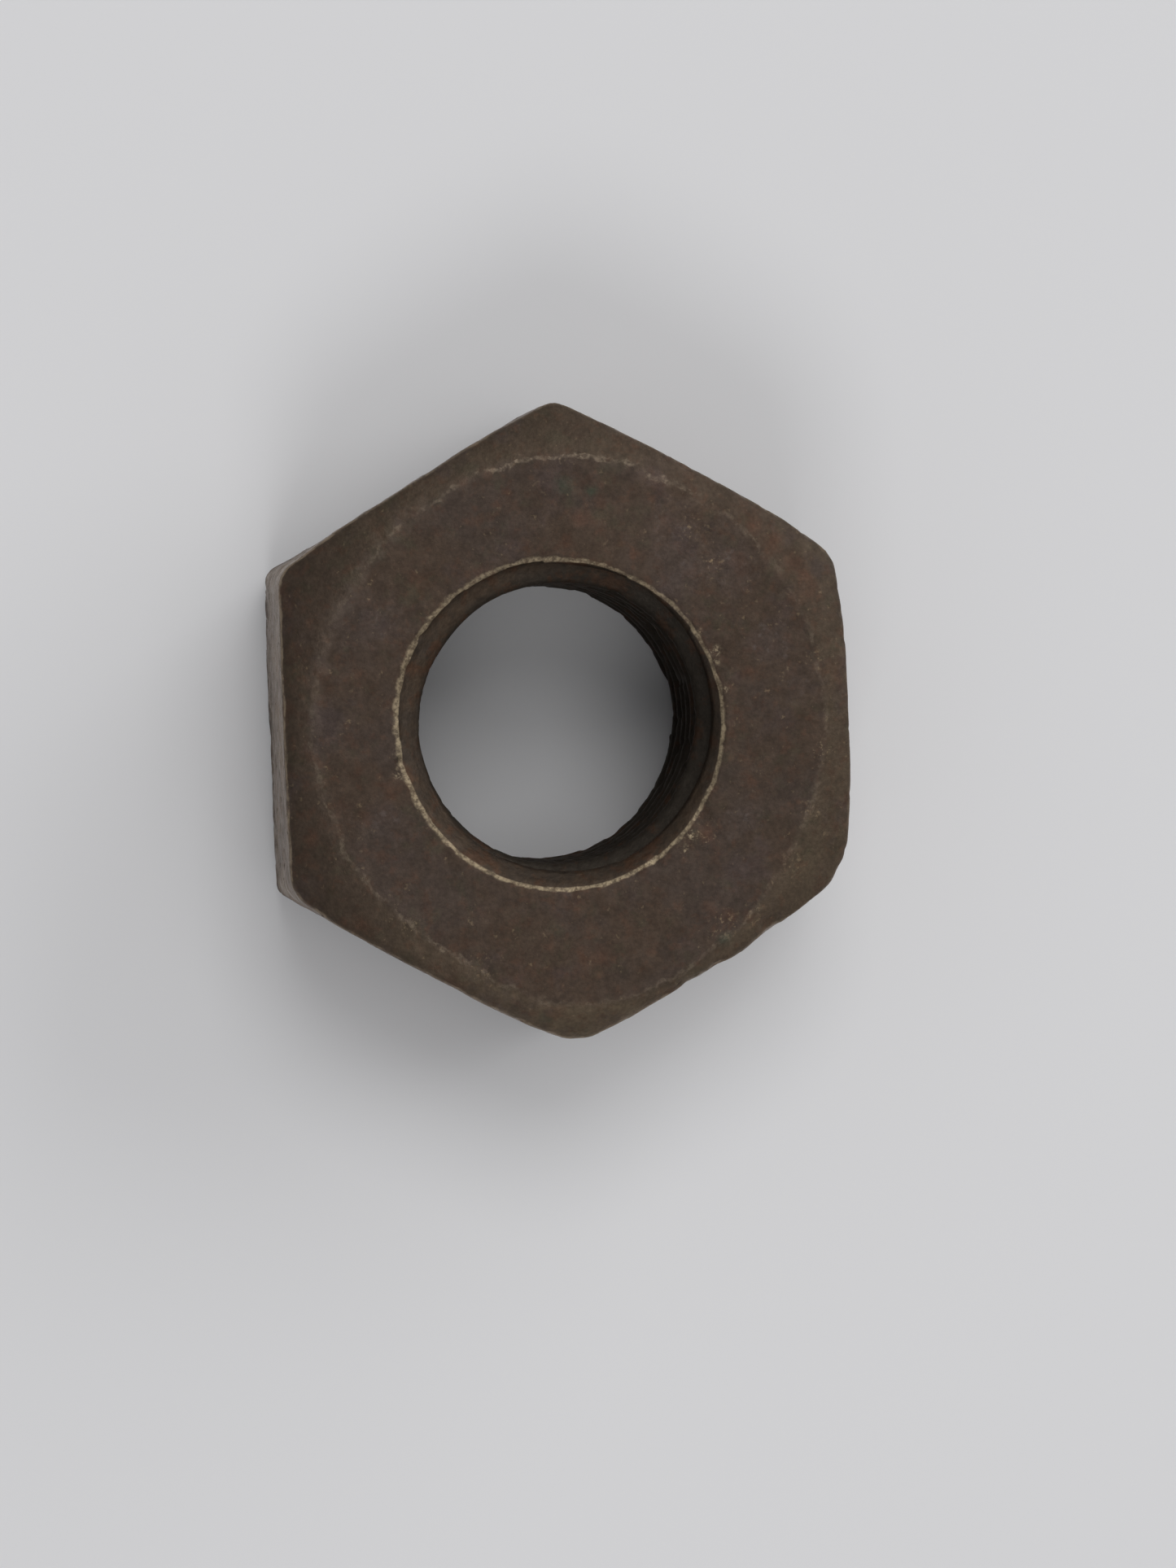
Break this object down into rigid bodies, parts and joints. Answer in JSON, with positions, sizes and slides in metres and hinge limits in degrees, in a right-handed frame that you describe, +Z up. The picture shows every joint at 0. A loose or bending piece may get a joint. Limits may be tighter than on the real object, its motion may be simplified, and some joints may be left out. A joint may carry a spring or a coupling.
{
  "type": "hex nut",
  "caption": "Plain full-depth hexagon nut in oxidised steel with a right-hand internal screw thread, a countersunk mouth and crowned chamfers at both ends.",
  "frame": {"origin": "on the thread's axis, in the plane of the lower bearing face", "axes": "+Z up along the thread's axis; two opposite flats face +X and -X; two opposite corners point along +Y and -Y"},
  "size_m": [0.0331, 0.0374, 0.0191],
  "materials": {
    "oxidised_steel": "dark brown oxide and light rust on forged steel, semi-rough, worn to paler bare metal along the edges"
  },
  "bodies": {
    "root": {"nut_body": "oxidised_steel"}
  },
  "joints": []
}
